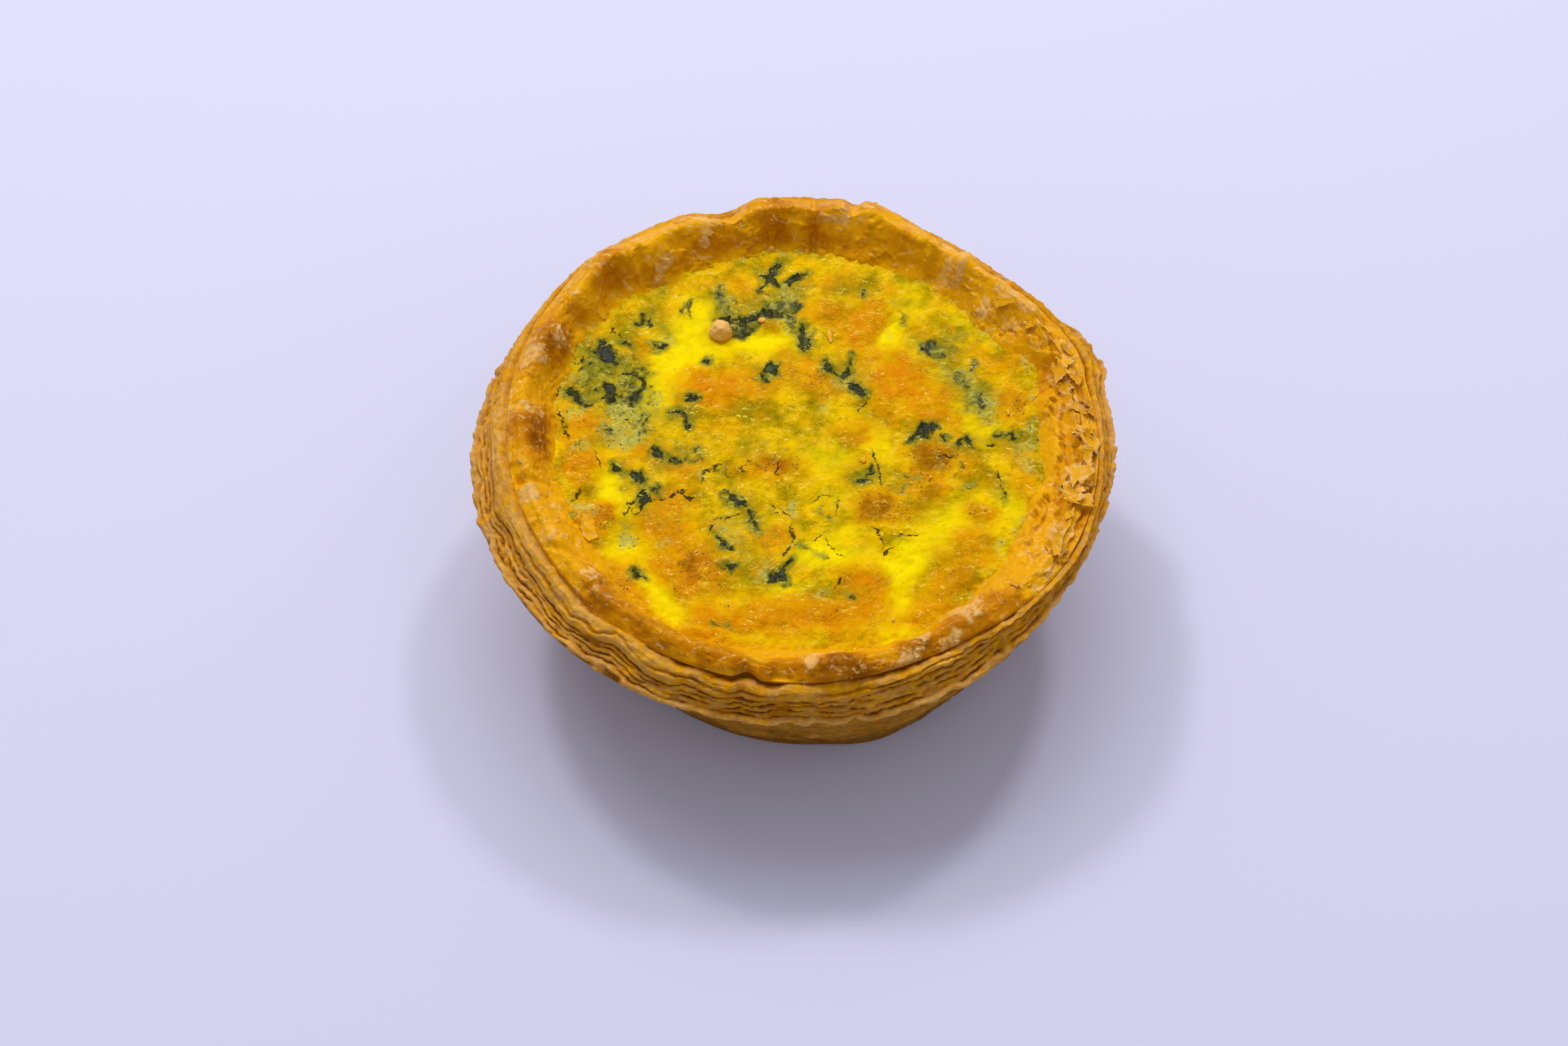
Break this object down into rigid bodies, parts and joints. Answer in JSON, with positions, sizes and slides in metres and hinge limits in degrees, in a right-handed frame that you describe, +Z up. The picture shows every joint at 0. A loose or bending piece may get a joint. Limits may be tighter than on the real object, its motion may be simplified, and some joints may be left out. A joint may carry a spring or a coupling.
{
  "type": "spinach quiche",
  "caption": "Deep round puff pastry case with flaky layered rim, filled to the rim with browned egg custard and scraps of spinach leaf.",
  "frame": {"origin": "on the flat base, under the middle of the rim", "axes": "+Z up out of the filling, +X towards the torn flaky side of the rim, -Y towards its lowest side"},
  "size_m": [0.14, 0.1319, 0.0514],
  "materials": {
    "baked_puff_pastry": "golden brown baked pastry, satin skin on top and dry flaky layers at the edge",
    "baked_egg_custard": "yellow baked egg custard with browned patches, slightly moist"
  },
  "bodies": {
    "root": {"pastry_crust": "baked_puff_pastry", "custard_filling": "baked_egg_custard"}
  },
  "joints": []
}
